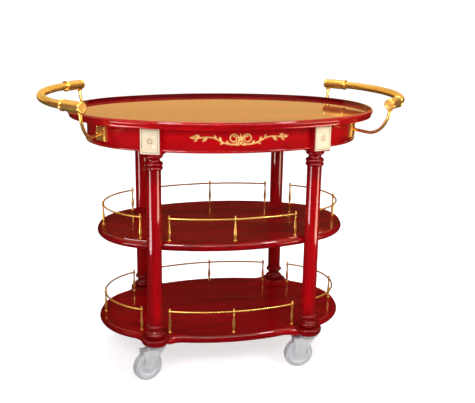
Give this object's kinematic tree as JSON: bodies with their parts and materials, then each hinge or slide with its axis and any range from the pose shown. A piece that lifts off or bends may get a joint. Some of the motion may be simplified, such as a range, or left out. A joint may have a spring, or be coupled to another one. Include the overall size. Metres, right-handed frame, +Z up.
{
  "type": "service cart",
  "caption": "Oval wooden drinks trolley with a rimmed tray top, railed shelves, turned legs, bow handles at the ends and swivel casters, for serving bottles and glasses.",
  "frame": {"origin": "floor level under the middle of the cart, between the wheels", "axes": "+X along the length towards the right handle, +Y towards the back, +Z up"},
  "size_m": [1.1358, 0.6838, 0.8605],
  "materials": {
    "red_lacquer": "high-gloss red mahogany lacquer",
    "dowel_wood": "plain beech",
    "gilt_brass": "polished, gold-coloured",
    "gilt_plaque": "pale gilt, satin",
    "caster_steel": "bright zinc plate",
    "wheel_core": "grey moulded",
    "wheel_tyre": "grey, non-marking"
  },
  "bodies": {
    "cart": {"top_board": "red_lacquer", "top_rim": "red_lacquer", "apron": "red_lacquer", "apron_bead": "red_lacquer", "middle_shelf": "red_lacquer", "middle_shelf_edge": "red_lacquer", "bottom_shelf": "red_lacquer", "bottom_shelf_edge": "red_lacquer", "leg_front_left": "red_lacquer", "leg_front_right": "red_lacquer", "leg_back_left": "red_lacquer", "leg_back_right": "red_lacquer", "shelf_dowels": "dowel_wood", "middle_rail_right": "gilt_brass", "middle_rail_back": "gilt_brass", "middle_rail_left": "gilt_brass", "middle_rail_front": "gilt_brass", "bottom_rail_right": "gilt_brass", "bottom_rail_back": "gilt_brass", "bottom_rail_left": "gilt_brass", "bottom_rail_front": "gilt_brass", "middle_gallery_posts": "gilt_brass", "bottom_gallery_posts": "gilt_brass", "handle_left": "gilt_brass", "handle_right": "gilt_brass", "handle_left_sleeves": "gilt_brass", "handle_right_sleeves": "gilt_brass", "handle_bracket_front_left": "gilt_brass", "handle_bracket_front_right": "gilt_brass", "handle_bracket_back_left": "gilt_brass", "handle_bracket_back_right": "gilt_brass", "bracket_screws": "gilt_brass", "scroll_front": "gilt_brass", "scroll_back": "gilt_brass", "plaque_front_left": "gilt_plaque", "plaque_front_right": "gilt_plaque", "plaque_back_left": "gilt_plaque", "plaque_back_right": "gilt_plaque", "caster_screws": "caster_steel", "caster_plate_front_left": "caster_steel", "caster_plate_front_right": "caster_steel", "caster_plate_back_left": "caster_steel", "caster_plate_back_right": "caster_steel"},
    "swivel_front_left": {"caster_fork_front_left": "caster_steel", "caster_axle_front_left": "caster_steel"},
    "wheel_front_left": {"wheel_core_front_left": "wheel_core", "wheel_tyre_front_left": "wheel_tyre"},
    "swivel_front_right": {"caster_fork_front_right": "caster_steel", "caster_axle_front_right": "caster_steel"},
    "wheel_front_right": {"wheel_core_front_right": "wheel_core", "wheel_tyre_front_right": "wheel_tyre"},
    "swivel_back_left": {"caster_fork_back_left": "caster_steel", "caster_axle_back_left": "caster_steel"},
    "wheel_back_left": {"wheel_core_back_left": "wheel_core", "wheel_tyre_back_left": "wheel_tyre"},
    "swivel_back_right": {"caster_fork_back_right": "caster_steel", "caster_axle_back_right": "caster_steel"},
    "wheel_back_right": {"wheel_core_back_right": "wheel_core", "wheel_tyre_back_right": "wheel_tyre"}
  },
  "joints": [
    {"name": "caster_swivel_front_left", "type": "hinge", "parent": "cart", "child": "swivel_front_left", "pos_m": [-0.241, -0.22047, 0.097], "axis": [0, 0, 1], "continuous": true},
    {"name": "wheel_spin_front_left", "type": "hinge", "parent": "swivel_front_left", "child": "wheel_front_left", "pos_m": [-0.26677, -0.23141, 0.045], "axis": [0.3907, -0.9205, 0], "continuous": true},
    {"name": "caster_swivel_front_right", "type": "hinge", "parent": "cart", "child": "swivel_front_right", "pos_m": [0.241, -0.22047, 0.097], "axis": [0, 0, 1], "continuous": true},
    {"name": "wheel_spin_front_right", "type": "hinge", "parent": "swivel_front_right", "child": "wheel_front_right", "pos_m": [0.21302, -0.22145, 0.045], "axis": [0.0349, -0.9994, 0], "continuous": true},
    {"name": "caster_swivel_back_left", "type": "hinge", "parent": "cart", "child": "swivel_back_left", "pos_m": [-0.241, 0.22047, 0.097], "axis": [0, 0, 1], "continuous": true},
    {"name": "wheel_spin_back_left", "type": "hinge", "parent": "swivel_back_left", "child": "wheel_back_left", "pos_m": [-0.26817, 0.21369, 0.045], "axis": [0.2419, -0.9703, 0], "continuous": true},
    {"name": "caster_swivel_back_right", "type": "hinge", "parent": "cart", "child": "swivel_back_right", "pos_m": [0.241, 0.22047, 0.097], "axis": [0, 0, 1], "continuous": true},
    {"name": "wheel_spin_back_right", "type": "hinge", "parent": "swivel_back_right", "child": "wheel_back_right", "pos_m": [0.213, 0.22047, 0.045], "axis": [0, -1, 0], "continuous": true}
  ]
}
